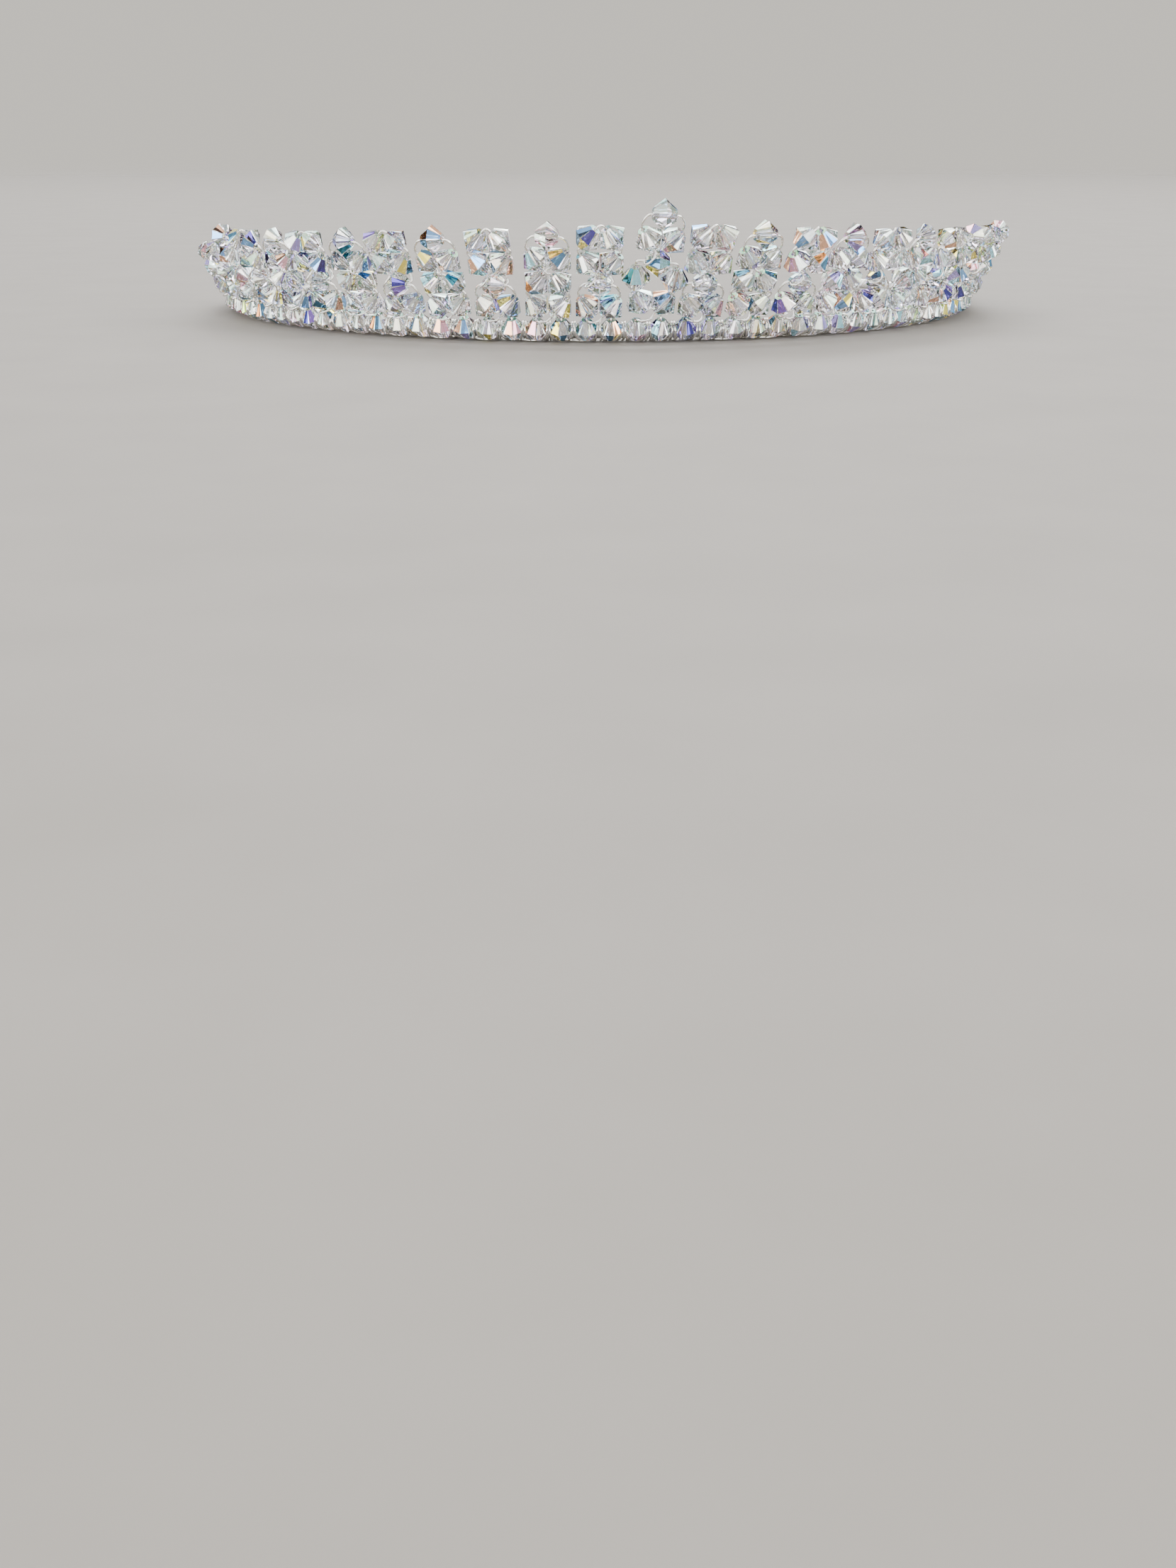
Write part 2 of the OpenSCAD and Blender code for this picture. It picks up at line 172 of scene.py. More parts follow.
def spray_crystals(i):
    """Each crystal's place, lean, radius over its flats and half length."""
    share = max(0, 1 - abs(i) / CLOSING)
    size = END_SIZE + (1 - END_SIZE) * share
    lean = HAND_LEAN * LEAN[abs(i)][0 if i < 0 else 1] if abs(i) < len(LEAN) else 0
    shaped = []
    for u, z, t in crystals_of(spray_kind(i), TILT + END_TILT * (1 - share), share):
        if z <= ROW_H:
            shaped.append((u, z, t, ROW_R, ROW_H))
        else:
            u, h = size * u, size * (z - ROW_L)
            shaped.append((u * cosd(lean) + h * sind(lean), ROW_L + h * cosd(lean) - u * sind(lean),
                           t + lean, size * BEAD_R, size * BEAD_H))
    return shaped


# The band's line at a length from the middle of the front
def heading(s):
    if abs(s) <= QUARTER:
        return s / ARC_R * 180 / math.pi
    return math.copysign(90 + (abs(s) - QUARTER) / TAIL_R * 180 / math.pi, s)


def arc_of(s):
    return (0, ARC_R) if abs(s) <= QUARTER else (math.copysign(ARC_R - TAIL_R, s), TAIL_R)


# The origin is under the middle of the box, which the centre spray's top crystal reaches in front
TOP_CRYSTAL = spray_crystals(0)[9]
FRONT_REACH = ARC_R + FOOT_OUT + BEAD_D / 2 + sind(FLARE) * TOP_CRYSTAL[1]
BACK_REACH = TAIL_R * sind(TAIL_TURN) + BALL_D / 2
SHIFT_Y = (FRONT_REACH - BACK_REACH) / 2


def along_at(s):
    return np.array([cosd(heading(s)), sind(heading(s)), 0])


def out_at(s):
    return np.array([sind(heading(s)), -cosd(heading(s)), 0])


def beside_band(s, out, z):
    """Point at a length s along the band, so far out from its line and so high."""
    centre_x, radius = arc_of(s)
    return np.array([centre_x, SHIFT_Y, z]) + (radius + out) * out_at(s)


def spray_axes(s):
    """Columns: along the band, across towards the band, and up the spray."""
    up = np.array([0, 0, 1])
    return np.column_stack([along_at(s), sind(FLARE) * up - cosd(FLARE) * out_at(s),
                            cosd(FLARE) * up + sind(FLARE) * out_at(s)])


def placed(s, p):
    """Point given in the directions of the spray at s, from its foot."""
    return beside_band(s, FOOT_OUT, SEAT_H) + spray_axes(s) @ np.asarray(p, float)


# Meshes
def mesh_object(name, points, faces, smooth, tints=None):
    mesh = bpy.data.meshes.new(name)
    mesh.from_pydata((np.asarray(points) * MM).tolist(), [], faces)
    mesh.polygons.foreach_set("use_smooth", [smooth] * len(mesh.polygons))
    if tints is not None:
        layer = mesh.color_attributes.new("facet_tint", "FLOAT_COLOR", "CORNER")
        layer.data.foreach_set("color", np.asarray(tints, float).ravel())
    mesh.update()
    piece = bpy.data.objects.new(name, mesh)
    bpy.context.scene.collection.objects.link(piece)
    return piece


# Sides of the thread, and of the coils and ties; a direction that no wire starts along
THREAD_SIDES, COIL_SIDES = 8, 6
ASKEW = (0.3, 0.9, 0.31)


def tube(points, radius, sides, closed=False):
    """Points and faces of a round wire swept along a line, with its frame carried from ring to ring."""
    p = np.asarray(points, float)
    if closed:
        ways = np.roll(p, -1, 0) - np.roll(p, 1, 0)
    else:
        ways = np.gradient(p, axis=0)
    ways /= np.linalg.norm(ways, axis=1)[:, None]
    v = np.cross(ways[0], ASKEW)
    rings = []
    angles = 2 * np.pi * np.arange(sides) / sides
    for at, way in zip(p, ways):
        v = v - (v @ way) * way
        v /= np.linalg.norm(v)
        w = np.cross(way, v)
        rings.append(at + radius * (np.cos(angles)[:, None] * v + np.sin(angles)[:, None] * w))
    n = len(p)
    faces = []
    for i in range(n if closed else n - 1):
        a, b = i * sides, (i + 1) % n * sides
        # a closed loop may come back turned, so its last ring is matched to the nearest side
        turn = 0
        if closed and i == n - 1:
            turn = int(np.argmin(np.linalg.norm(rings[0] - rings[-1][0], axis=1)))
        for k in range(sides):
            m = (k + 1) % sides
            faces.append((a + k, a + m, b + (m + turn) % sides, b + (k + turn) % sides))
    if not closed:
        faces.append(tuple(range(sides - 1, -1, -1)))
        faces.append(tuple((n - 1) * sides + k for k in range(sides)))
    return np.vstack(rings), faces


def joined(parts):
    """One list of points and faces from several."""
    points, faces, count = [], [], 0
    for ps, fs in parts:
        points.append(ps)
        faces += [tuple(v + count for v in f) for f in fs]
        count += len(ps)
    return np.vstack(points), faces


# Crystal of unit size: radii are shares of the radius over the corners, heights of the half length.
# Width of the sliver facet at a waist's corner, and depth of the crease down a flank's middle
SLIVER, CREASE = 0.07, 0.03
TABLE_SHARE, BORE_SHARE = TABLE_D / BEAD_D, BORE_D / BEAD_D


def ring(radius, z, shift):
    angles = [math.radians(360 / BEAD_SIDES * (k + shift)) for k in range(BEAD_SIDES)]
    return [(radius * math.cos(a), radius * math.sin(a), z) for a in angles]


def crystal_form():
    """Faces of the upper half, the lower half and the bore, each with its kind and flank number."""
    n = BEAD_SIDES
    tips = [np.array(tip) for tip in ring(1, 0, 0.5)]
    before = [tuple(tip + SLIVER * (tips[k - 1] - tip)) for k, tip in enumerate(tips)]
    after = [tuple(tip + SLIVER * (tips[(k + 1) % n] - tip)) for k, tip in enumerate(tips)]
    middle = ring(OVER_FLATS * (1 - CREASE), 0, 1)
    points = before + after + middle
    faces, kinds = [], []
    for way in (1, -1):
        table = len(points)
        points += ring(TABLE_SHARE, way, 0.5) + ring(TABLE_SHARE * OVER_FLATS, way, 1)
        points += ring(BORE_SHARE, way, 0.5)
        table_mid, hole = table + n, table + 2 * n
        for k in range(n):
            m = (k + 1) % n
            found = [
                ("flank", (n + k, 2 * n + k, table_mid + k, table + k)),
                ("flank", (2 * n + k, m, table + m, table_mid + k)),
                ("sliver", (k, n + k, table + k)),
                ("table", (table + k, table_mid + k, table + m, hole + m, hole + k)),
            ]
            for kind, face in found:
                faces.append(face if way > 0 else face[::-1])
                kinds.append((kind, k, way))
    for k in range(n):
        m = (k + 1) % n
        upper, lower = 5 * n, 8 * n
        faces.append((upper + k, upper + m, lower + m, lower + k))
        kinds.append(("bore", k, 0))
    return np.array(points, float), faces, kinds


# Soft colours of a clear facet, and pairs of strong colours that neighbouring facets flash
SOFT = [(0.98, 0.985, 0.99), (0.98, 0.985, 0.99), (0.97, 0.97, 0.99), (0.90, 0.88, 1.0),
        (0.86, 0.97, 0.98), (1.0, 0.97, 0.86), (1.0, 0.91, 0.87)]
PEACH, SKY, LEMON, STEEL = (0.95, 0.52, 0.32), (0.24, 0.52, 0.96), (1.0, 0.84, 0.18), (0.08, 0.22, 0.38)
LILAC, AQUA, INDIGO, VIOLET = (0.52, 0.42, 0.93), (0.40, 0.80, 0.92), (0.06, 0.05, 0.32), (0.30, 0.16, 0.72)
LIME, TEAL, ORANGE, PINK = (0.72, 0.92, 0.28), (0.02, 0.19, 0.26), (0.87, 0.32, 0.09), (0.95, 0.50, 0.60)
# Columns: share of the flashing halves, colour of the first facet, colour of the second
FLASHES = [
    (0.17, PEACH, SKY),
    (0.13, LEMON, STEEL),
    (0.17, LILAC, AQUA),
    (0.10, PEACH, PINK),
    (0.09, LIME, LEMON),
    (0.07, STEEL, LEMON),
    (0.06, INDIGO, VIOLET),
    (0.05, TEAL, AQUA),
    (0.05, ORANGE, STEEL),
    (0.06, PINK, LILAC),
    (0.05, SKY, INDIGO),
]
FLASH_SHARES = np.array([row[0] for row in FLASHES]) / sum(row[0] for row in FLASHES)
# Share of a crystal's halves that flash, and mirror shares of the flash's two facets, of the
# plain flanks and of the slivers
FLASHING, FLASH_MIRRORS = 0.8, (0.85, 0.75)
PLAIN_MIRROR, SLIVER_MIRROR = (0.05, 0.45), (0.2, 0.8)
FORM_POINTS, FORM_FACES, FORM_KINDS = crystal_form()
SPIN = 360 / BEAD_SIDES


def facet_tints(rng):
    """Colour of every face corner of one crystal; the fourth number is how much it mirrors."""
    flanks = {}
    for way in (1, -1):
        for k in range(BEAD_SIDES):
            flanks[k, way] = (SOFT[rng.integers(len(SOFT))], rng.uniform(*PLAIN_MIRROR))
        if rng.random() < FLASHING:
            row = FLASHES[rng.choice(len(FLASHES), p=FLASH_SHARES)]
            k = rng.integers(BEAD_SIDES)
            flanks[k, way] = (row[1], FLASH_MIRRORS[0])
            flanks[(k + 1) % BEAD_SIDES, way] = (row[2], FLASH_MIRRORS[1])
    tints = []
    for face, (kind, k, way) in zip(FORM_FACES, FORM_KINDS):
        colour, mirror = (1, 1, 1), 0.0
        if kind == "flank":
            colour, mirror = flanks[k, way]
        elif kind == "sliver":
            colour, mirror = SOFT[rng.integers(len(SOFT))], rng.uniform(*SLIVER_MIRROR)
        tints += [(*colour, mirror)] * len(face)
    return tints


# Seeds of the random draws: crystals, the binding's turns and the ties
CRYSTAL_SEED, SPRAY_SEED, WRAP_SEED, TIE_SEED = 100, 200, 7, 11


def crystals_piece(name, sprays):
    rng = np.random.default_rng(CRYSTAL_SEED + sum(SPRAY_SEED + i for i in sprays))
    parts, tints = [], []
    for i in sprays:
        axes = spray_axes(i * PITCH)
        for u, z, lean, r, h in spray_crystals(i):
            spin = math.radians(SPIN * rng.random())
            turn = np.array([[math.cos(spin), -math.sin(spin), 0],
                             [math.sin(spin), math.cos(spin), 0], [0, 0, 1]])
            lay = np.array([[cosd(lean), 0, sind(lean)], [0, 1, 0], [-sind(lean), 0, cosd(lean)]])
            sized = FORM_POINTS * (r / OVER_FLATS, r / OVER_FLATS, h)
            parts.append((placed(i * PITCH, (u, 0, z)) + sized @ (axes @ lay @ turn).T, FORM_FACES))
            tints += facet_tints(rng)
    return mesh_object(name, *joined(parts), smooth=False, tints=tints)


# The fine wire through the sprays, with the same way as in the frame and finer bends
BEND_STEPS = 9


def bend(a, a_way, b, b_way, reach, swing):
    """Inner points of the bend from a to b, as a cubic curve."""
    p1, p2 = a + reach * a_way + swing, b - reach * b_way + swing
    fs = [k / BEND_STEPS for k in range(1, BEND_STEPS)]
    return [(1 - f) ** 3 * a + 3 * (1 - f) ** 2 * f * p1 + 3 * (1 - f) * f * f * p2 + f ** 3 * b
            for f in fs]


def axis_of(c):
    return np.array([sind(c[2]), 0, cosd(c[2])])


def hole_end(c, way, end, w):
    return np.array([c[0], w, c[1]]) + end * way * (c[4] + MOUTH) * axis_of(c)


def spray_points(i):
    cs, way = spray_crystals(i), WAYS[spray_kind(i)]
    half, points = len(way) / 2, []
    for k, (at, d, swing) in enumerate(way):
        side = -1 if k < half else 1
        next_side = -1 if k + 1 < half else 1
        c = cs[at]
        points.append(hole_end(c, d, -1, side * WIRE_APART))
        a = hole_end(c, d, 1, side * WIRE_APART)
        points.append(a)
        if k + 1 < len(way):
            c2, d2 = cs[way[k + 1][0]], way[k + 1][1]
            b = hole_end(c2, d2, -1, next_side * WIRE_APART)
            level = max(abs(c[2]), abs(c2[2])) > (90 + TILT) / 2
            reach = LOOP_LEN if swing == 0 and level else BEND_LEN
            points += bend(a, d * axis_of(c), b, d2 * axis_of(c2), reach,
                           np.array([0, side * SWING * swing, 0]))
    return [placed(i * PITCH, p) for p in points]


def row_bend(i):
    a = placed(i * PITCH, (ROW_U, WIRE_APART, -MOUTH))
    b = placed((i + 1) * PITCH, (-ROW_U, -WIRE_APART, -MOUTH))
    down = -spray_axes((i + 0.5) * PITCH)[:, 2]
    return bend(a, down, b, -down, MOUTH, 0)


def wire_piece(name, first, last):
    points = []
    for i in range(first, last + 1):
        points += spray_points(i)
        if i < last:
            points += row_bend(i)
    return mesh_object(name, *tube(points, WIRE_D / 2, THREAD_SIDES), smooth=True)


# The band, and the wire bound round it
STRIP_STEPS, BAND_STATIONS = 24, 241
BALL_RINGS, BALL_SIDES = 16, 28


def strip_line(margin, steps):
    """Outline of the strip as out and z from the band's line, grown by a margin."""
    w, h = BAND_T + 2 * margin, BAND_H + 2 * margin
    line = []
    for k in range(steps):
        a = 2 * math.pi * (k + 0.5) / steps
        lift = math.copysign((h - w) / 2, math.sin(a))
        line.append((w / 2 * math.cos(a), BAND_MID_Z + lift + w / 2 * math.sin(a)))
    return line


def band_piece():
    line = strip_line(0, STRIP_STEPS)
    stations = np.linspace(-HALF_LEN, HALF_LEN, BAND_STATIONS)
    points, faces, n = [], [], len(line)
    for s in stations:
        points += [beside_band(s, o, z) for o, z in line]
    for i in range(len(stations) - 1):
        for k in range(n):
            m = (k + 1) % n
            faces.append((i * n + k, i * n + m, (i + 1) * n + m, (i + 1) * n + k))
    parts = [(np.array(points), faces)]
    for s in (-HALF_LEN, HALF_LEN):
        parts.append(ball(beside_band(s, 0, BAND_MID_Z), BALL_D / 2))
    return mesh_object("band_strip", *joined(parts), smooth=True)


def ball(centre, radius, rings=BALL_RINGS, sides=BALL_SIDES):
    points = [centre + (0, 0, radius)]
    for i in range(1, rings):
        a = math.pi * i / rings
        for k in range(sides):
            b = 2 * math.pi * k / sides
            points.append(centre + radius * np.array(
                [math.sin(a) * math.cos(b), math.sin(a) * math.sin(b), math.cos(a)]))
    points.append(centre - (0, 0, radius))
    faces = [(0, 1 + k, 1 + (k + 1) % sides) for k in range(sides)]
    for i in range(rings - 2):
        a, b = 1 + i * sides, 1 + (i + 1) * sides
        faces += [(a + k, b + k, b + (k + 1) % sides, a + (k + 1) % sides) for k in range(sides)]
    end, a = len(points) - 1, 1 + (rings - 2) * sides
    faces += [(a + (k + 1) % sides, a + k, end) for k in range(sides)]
    return np.array(points), faces


def seams():
    """Places along the band between neighbouring row crystals."""
    return [(2 * i + half) * PITCH / 2 for i in range(-LAST_SPRAY, LAST_SPRAY + 1)
            for half in (0, 1)][:-1]


# Turns of the binding: steps round the strip, pitch and its slack in wire diameters, turns in a
# group and gap behind it, extra gap next to the centre, and how far from it that fades out
WRAP_STEPS, WRAP_PITCH, WRAP_SLACK = 16, 1.03, 0.12
CENTRE_TURNS, OUTER_TURNS = (2, 5), (5, 10)
GROUP_GAP, CENTRE_GAP, CENTRE_REACH = (0.05, 0.3), (0.1, 0.7), 75
# Most that a turn stands off the strip's faces, which lie beyond this distance from its middle
WRAP_LOOSE, FACE_FROM = 0.06, 0.5


def wrap_places(rng):
    """Places along the band where each turn of the binding starts."""
    reach = HALF_LEN - BARE_END
    ties = np.array(seams())
    places, s = [], -reach
    while s < reach - WIRE_D:
        centre = max(0.0, 1 - abs(s) / CENTRE_REACH)
        for _ in range(rng.integers(*(CENTRE_TURNS if centre > 0 else OUTER_TURNS))):
            places.append(s)
            s += WIRE_D * (WRAP_PITCH + WRAP_SLACK * rng.random())
        s += rng.uniform(*GROUP_GAP) + centre * rng.uniform(*CENTRE_GAP)
        if np.abs(ties - s).min() < WIRE_D:
            s += WIRE_D
    return [p for p in places if p < reach]


def binding_piece():
    rng = np.random.default_rng(WRAP_SEED)
    line = np.array(strip_line(BIND_GAP + WIRE_D / 2, WRAP_STEPS))
    places = wrap_places(rng)
    points = []
    for s, s2 in zip(places, places[1:] + [places[-1] + WIRE_D]):
        loose = rng.uniform(0, WRAP_LOOSE, 2)
        for k, (o, z) in enumerate(line):
            o += math.copysign(loose[int(o > 0)] * (abs(o) > FACE_FROM), o)
            points.append(beside_band(s + (s2 - s) * k / len(line), o, z))
    return mesh_object("binding_coils", *tube(points, WIRE_D / 2, COIL_SIDES), smooth=True)


# Two loops tie the row to the band at each seam: how far each is off the seam, how much further
# the two spread under the band, and steps from one knot of a loop to the next
TIE_APART, TIE_SPREAD, TIE_STEPS = 0.58 * WIRE_D, 0.85, 3


def tie_line(rng, way):
    """Closed loop round the band and the seam of two row crystals, as out, z and along the band."""
    up = np.array([sind(FLARE), cosd(FLARE)])
    front = np.array([cosd(FLARE), -sind(FLARE)])
    foot = np.array([FOOT_OUT, SEAT_H])
    r = BIND_GAP + WIRE_D / 2
    inner = -BAND_T / 2 - r
    side = 1.2 + 0.15 * rng.random()
    top = ROW_L - rng.uniform(0.4, 0.7)
    low = WIRE_D / 2
    spread = TIE_SPREAD * rng.uniform(0.6, 1)
    over_waist, under_waist, over_foot = 2.1 * up, 1.1 * up, 0.2 * up
    # Columns: out and z, share of the spread
    knots = [
        (foot + over_waist + side * front, 0.05),
        (foot + under_waist + (side - 0.1) * front, 0.25),
        (foot + over_foot + 0.55 * front, 0.7),
        ((1.5, r + 0.02), 1),
        ((0.6, low), 0.95),
        ((0, low), 0.85),
        ((-0.5, r + 0.02), 0.8),
        ((inner, BAND_MID_Z - 0.5), 0.7),
        ((inner, BAND_MID_Z + 0.5), 0.6),
        ((-0.5, BAND_MID_Z + 1.2), 0.5),
        ((0.2, BAND_MID_Z + 1.3), 0.4),
        ((1.1, BAND_MID_Z + 1.2), 0.2),
        (foot + over_waist - side * front, 0.05),
        (foot + (top - 0.3) * up - 0.6 * front, 0),
        (foot + top * up, 0),
        (foot + (top - 0.3) * up + 0.6 * front, 0),
    ]
    turns = [(*at, way * (TIE_APART + spread * share)) for at, share in knots]
    return smooth_loop(np.array(turns), TIE_STEPS)


def smooth_loop(knots, steps):
    """Points of a closed Catmull-Rom curve through the knots."""
    n, points = len(knots), []
    for i in range(n):
        a, b, c, d = (knots[(i + k) % n] for k in (-1, 0, 1, 2))
        for k in range(steps):
            f = k / steps
            points.append(0.5 * (2 * b + (c - a) * f + (2 * a - 5 * b + 4 * c - d) * f * f
                                 + (3 * b - a - 3 * c + d) * f ** 3))
    return np.array(points)


def ties_piece():
    rng = np.random.default_rng(TIE_SEED)
    parts = []
    for s in seams():
        for way in (-1, 1):
            points = [beside_band(s + along, o, z) for o, z, along in tie_line(rng, way)]
            parts.append(tube(points, WIRE_D / 2, COIL_SIDES, closed=True))
    return mesh_object("row_ties", *joined(parts), smooth=True)


# Materials: glass and its coating, whose thickness is in nanometres, with faint smears
GLASS_IOR, FILM_IOR, FILM_THICKNESS = 1.56, 1.9, 380
SMEAR_SCALE, SMEAR_ROUGH = 900, 0.05
# Metal: finer grain for gloss and dents than for colour, and depth of the dents in metres
FINER, FINE_DETAIL, DENT_DEPTH = 4, 5, 0.00005


def new_material(name):
    made = bpy.data.materials.new(name)
    made.use_nodes = True
    nodes, links = made.node_tree.nodes, made.node_tree.links
    shader = next(n for n in nodes if n.type == "BSDF_PRINCIPLED")
    return made, nodes, links, shader


def noise(nodes, links, scale, detail=3.0):
    place = nodes.new("ShaderNodeTexCoord")
    made = nodes.new("ShaderNodeTexNoise")
    made.inputs["Scale"].default_value = scale
    made.inputs["Detail"].default_value = detail
    links.new(place.outputs["Object"], made.inputs["Vector"])
    return made


def ramp(nodes, links, source, stops):
    made = nodes.new("ShaderNodeValToRGB")
    spots = made.color_ramp.elements
    while len(spots) < len(stops):
        spots.new(0.5)
    for spot, (at, colour) in zip(spots, stops):
        spot.position, spot.color = at, (*colour, 1)
    links.new(source, made.inputs["Fac"])
    return made


def crystal_material():
    made, nodes, links, shader = new_material("aurora_crystal")
    tint = nodes.new("ShaderNodeVertexColor")
    tint.layer_name = "facet_tint"
    links.new(tint.outputs["Color"], shader.inputs["Base Color"])
    links.new(tint.outputs["Alpha"], shader.inputs["Metallic"])
    smear = noise(nodes, links, SMEAR_SCALE)
    rough = nodes.new("ShaderNodeMapRange")
    rough.inputs["To Min"].default_value = 0.0
    rough.inputs["To Max"].default_value = SMEAR_ROUGH
    links.new(smear.outputs["Fac"], rough.inputs["Value"])
    links.new(rough.outputs["Result"], shader.inputs["Roughness"])
    shader.inputs["Transmission Weight"].default_value = 1
    shader.inputs["IOR"].default_value = GLASS_IOR
    shader.inputs["Thin Film Thickness"].default_value = FILM_THICKNESS
    shader.inputs["Thin Film IOR"].default_value = FILM_IOR
    return made


def metal_material(name, dark, light, scale, rough_low, rough_high, bump):
    made, nodes, links, shader = new_material(name)
    grain = noise(nodes, links, scale)
    shade = ramp(nodes, links, grain.outputs["Fac"], [(0.3, dark), (0.62, light)])
    links.new(shade.outputs["Color"], shader.inputs["Base Color"])
    fine = noise(nodes, links, scale * FINER, FINE_DETAIL)
    rough = nodes.new("ShaderNodeMapRange")
    rough.inputs["To Min"].default_value = rough_low
    rough.inputs["To Max"].default_value = rough_high
    links.new(fine.outputs["Fac"], rough.inputs["Value"])
    links.new(rough.outputs["Result"], shader.inputs["Roughness"])
    dents = nodes.new("ShaderNodeBump")
    dents.inputs["Strength"].default_value = bump
    dents.inputs["Distance"].default_value = DENT_DEPTH
    links.new(fine.outputs["Fac"], dents.inputs["Height"])
    links.new(dents.outputs["Normal"], shader.inputs["Normal"])
    shader.inputs["Metallic"].default_value = 1
    return made


def dress(piece, material, slot, *nodes_replaced):
    """Gives a piece its material and its body, and hides the nodes that it stands for."""
    piece.data.materials.append(material)
    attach(piece, "root")
    if nodes_replaced:
        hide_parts(*nodes_replaced)


crystal_look = crystal_material()
wire_look = metal_material("silver_wire", dark=(0.90, 0.865, 0.80), light=(0.98, 0.955, 0.91),
                           scale=500, rough_low=0.10, rough_high=0.24, bump=0.2)
band_look = metal_material("silver_band", dark=(0.70, 0.69, 0.67), light=(0.86, 0.85, 0.84),
                           scale=260, rough_low=0.2, rough_high=0.38, bump=0.35)

dress(band_piece(), band_look, "band", "band")
dress(binding_piece(), wire_look, "wire", "binding")
dress(ties_piece(), wire_look, "wire")
dress(wire_piece("thread_left", -LAST_SPRAY, -1), wire_look, "wire", "wire_left")
dress(wire_piece("thread_centre", 0, 0), wire_look, "wire", "wire_centre")
dress(wire_piece("thread_right", 1, LAST_SPRAY), wire_look, "wire", "wire_right")
dress(crystals_piece("crystals_centre", [0]), crystal_look, "crystal", "spray_centre")
for side, name in ((-1, "left"), (1, "right")):
    for i in range(1, SPRAYS + 1):
        dress(crystals_piece(f"crystals_{name}_{i:02d}", [side * i]), crystal_look, "crystal",
              f"spray_{name}_{i:02d}")
    behind = [side * i for i in range(SPRAYS + 1, LAST_SPRAY + 1)]
    dress(crystals_piece(f"crystals_{name}_end", behind), crystal_look, "crystal",
          f"end_sprays_{name}")

# Floor: a wide disc that thins out into the plain backdrop, in metres
FLOOR_R, FLOOR_SIDES = 3.0, 96
FADE_FROM, FADE_TO = 0.35, 2.6
FLOOR_DARK, FLOOR_LIGHT, FLOOR_ROUGH = (0.222, 0.204, 0.179), (0.241, 0.222, 0.196), 0.65


def make_floor():
    sides, rings = FLOOR_SIDES, [0.0, 0.4, 1.0, 1.8, FLOOR_R]
    points, faces = [(0, 0, 0)], []
    for r in rings[1:]:
        points += [(r / MM * math.cos(2 * math.pi * k / sides),
                    r / MM * math.sin(2 * math.pi * k / sides), 0) for k in range(sides)]
    for k in range(sides):
        m = (k + 1) % sides
        faces.append((0, 1 + k, 1 + m))
        for i in range(len(rings) - 2):
            a, b = 1 + i * sides, 1 + (i + 1) * sides
            faces.append((a + k, b + k, b + m, a + m))
    floor = mesh_object("floor", points, faces, smooth=False)
    floor.data.materials.append(floor_material())


def floor_material():
    made, nodes, links, shader = new_material("pale_floor")
    grain = noise(nodes, links, 60, 6)
    shade = ramp(nodes, links, grain.outputs["Fac"], [(0.3, FLOOR_DARK), (0.7, FLOOR_LIGHT)])
    links.new(shade.outputs["Color"], shader.inputs["Base Color"])
    shader.inputs["Roughness"].default_value = FLOOR_ROUGH
    place = nodes.new("ShaderNodeTexCoord")
    length = nodes.new("ShaderNodeVectorMath")
    length.operation = "LENGTH"
    links.new(place.outputs["Object"], length.inputs[0])
    fade = nodes.new("ShaderNodeMapRange")
    fade.interpolation_type = "SMOOTHSTEP"
    fade.inputs["From Min"].default_value = FADE_FROM
    fade.inputs["From Max"].default_value = FADE_TO
    fade.inputs["To Min"].default_value = 1
    fade.inputs["To Max"].default_value = 0
    links.new(length.outputs["Value"], fade.inputs["Value"])
    links.new(fade.outputs["Result"], shader.inputs["Alpha"])
    return made


# Plain backdrop, and the patches of soft light around the object: share of the pattern, colour
BACKDROP = (0.80, 0.76, 0.692, 1)
PATCH_SCALE = 2.6
PATCHES = [
    (0.0, (0.01, 0.01, 0.015)),
    (0.31, (0.03, 0.03, 0.035)),
    (0.34, (0.8, 0.79, 0.78)),
    (0.58, (1.4, 1.4, 1.4)),
    (0.68, (7.5, 7.5, 7.6)),
]


def make_world():
    """Plain warm grey behind the object; soft light with brighter and darker patches around it."""
    world = bpy.data.worlds.new("studio")
    bpy.context.scene.world = world
    world.use_nodes = True
    nodes, links = world.node_tree.nodes, world.node_tree.links
    back = next(n for n in nodes if n.type == "BACKGROUND")
    place = nodes.new("ShaderNodeTexCoord")
    cells = nodes.new("ShaderNodeTexVoronoi")
    cells.inputs["Scale"].default_value = PATCH_SCALE
    links.new(place.outputs["Generated"], cells.inputs["Vector"])
    light = ramp(nodes, links, cells.outputs["Color"], PATCHES)
    path = nodes.new("ShaderNodeLightPath")
    pick = nodes.new("ShaderNodeMix")
    pick.data_type = "RGBA"
    pick.inputs["B"].default_value = BACKDROP
    links.new(path.outputs["Is Camera Ray"], pick.inputs["Factor"])
    links.new(light.outputs["Color"], pick.inputs["A"])
    links.new(pick.outputs["Result"], back.inputs["Color"])


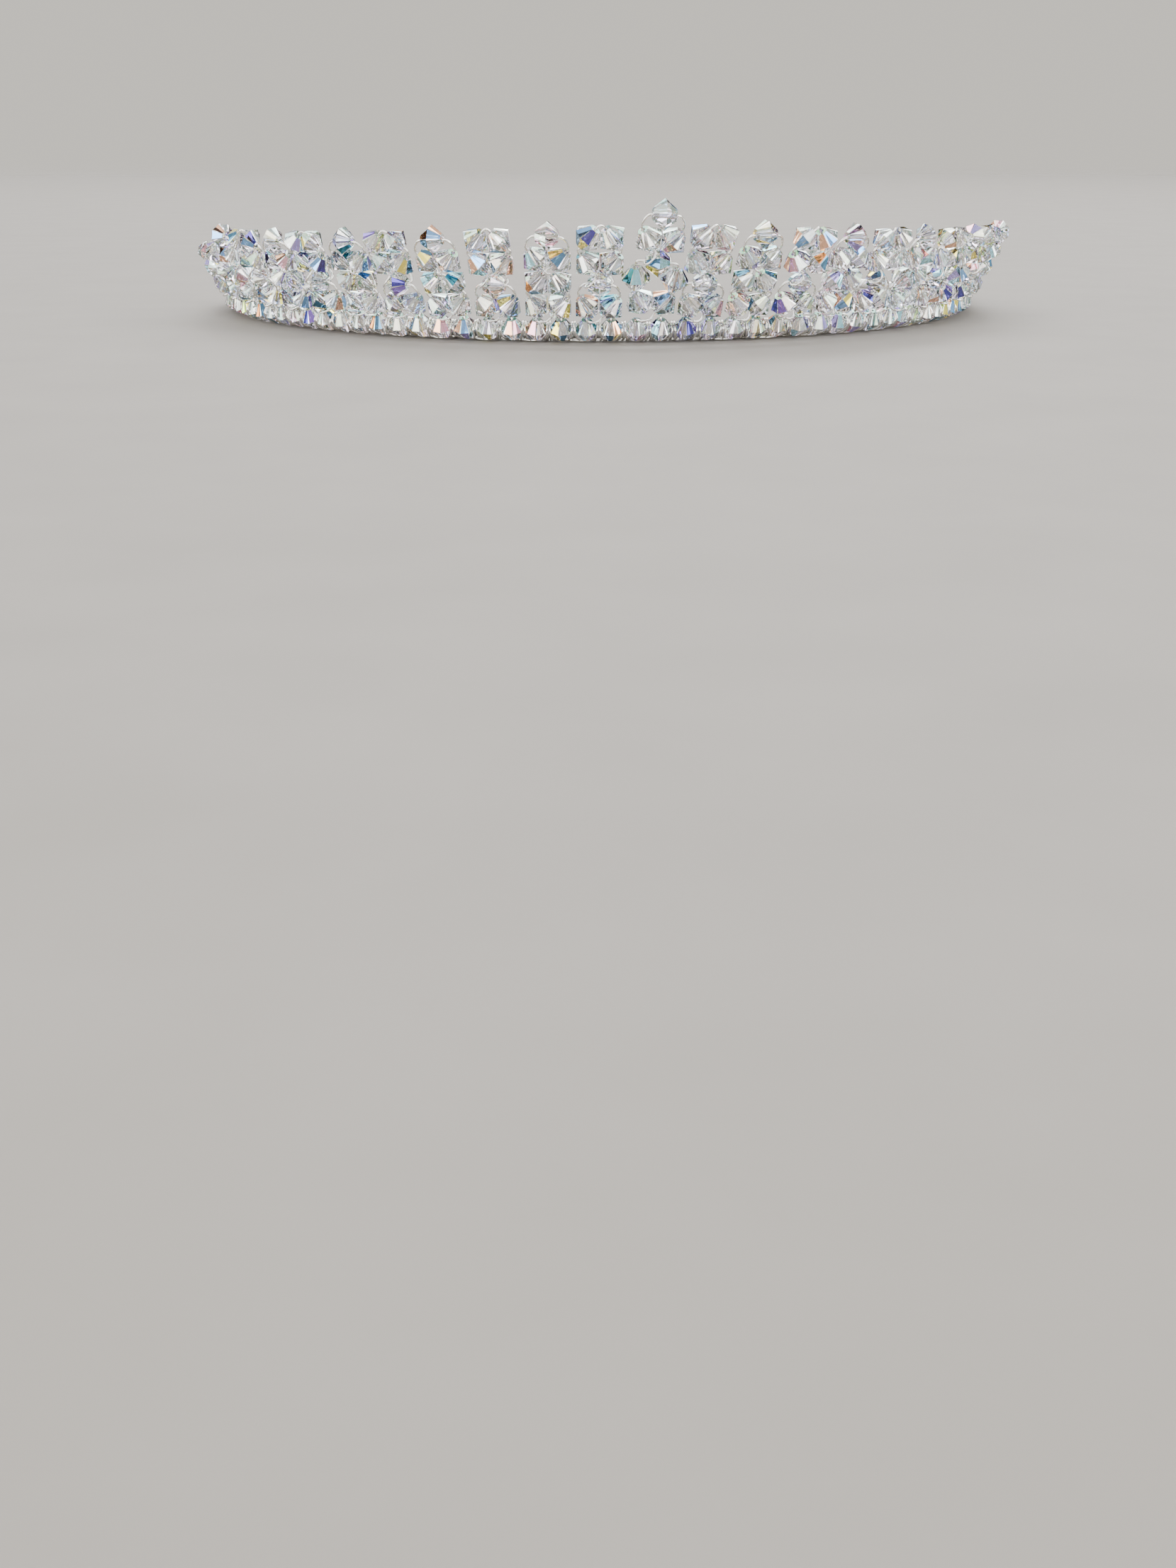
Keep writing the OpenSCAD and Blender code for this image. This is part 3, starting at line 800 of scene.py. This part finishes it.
# Columns: name, place in metres, width and height, power, colour
LAMPS = [
    ("key", (-0.7, -0.9, 1.0), (0.7, 0.5), 9, (1, 0.98, 0.95)),
    ("fill", (0.9, -0.7, 0.6), (0.25, 0.7), 5, (0.95, 0.97, 1)),
    ("rim", (0.3, 1.1, 0.8), (0.9, 0.3), 6, (1, 1, 1)),
]


def add_lamp(name, at, size, power, colour):
    """Soft lamp that faces the middle of the object."""
    lamp = bpy.data.lights.new(name, "AREA")
    lamp.shape = "RECTANGLE"
    lamp.size, lamp.size_y = size
    lamp.energy, lamp.color = power, colour
    holder = bpy.data.objects.new(name, lamp)
    holder.location = at
    holder.rotation_euler = (-Vector(at)).to_track_quat("-Z", "Y").to_euler()
    holder.visible_camera = False
    bpy.context.scene.collection.objects.link(holder)


make_floor()
make_world()
for row in LAMPS:
    add_lamp(*row)

# Camera: the photograph's distance, lens and side angle, low above the floor
PHOTO_W, PHOTO_H, PHOTO_F = 1659, 2212, 2400.0
CAM_AZIMUTH, CAM_ELEVATION, CAM_DISTANCE = -6.5, 4.0, 0.362
# The point that it aims at, a height in metres above the origin's middle, and its pixel
AIM_Z, AIM_PIXEL = 0.006, (843, 385)
SENSOR = 36


def make_camera():
    data = bpy.data.cameras.new("camera")
    data.lens = SENSOR * PHOTO_F / PHOTO_H
    data.sensor_width = SENSOR
    data.clip_start, data.clip_end = 0.005, 50
    camera = bpy.data.objects.new("camera", data)
    target = Vector((0, SHIFT_Y * MM, AIM_Z))
    back = Vector((sind(CAM_AZIMUTH) * cosd(CAM_ELEVATION),
                   -cosd(CAM_AZIMUTH) * cosd(CAM_ELEVATION), sind(CAM_ELEVATION)))
    camera.location = target + CAM_DISTANCE * back
    # the view turns down and sideways, so the target lands on its pixel in the upper half
    pitch = CAM_ELEVATION + math.degrees(math.atan2(PHOTO_H / 2 - AIM_PIXEL[1], PHOTO_F))
    yaw = CAM_AZIMUTH + math.degrees(math.atan2(AIM_PIXEL[0] - PHOTO_W / 2, PHOTO_F))
    camera.rotation_euler = (math.radians(90 - pitch), 0, math.radians(yaw))
    bpy.context.scene.collection.objects.link(camera)
    bpy.context.scene.camera = camera


make_camera()
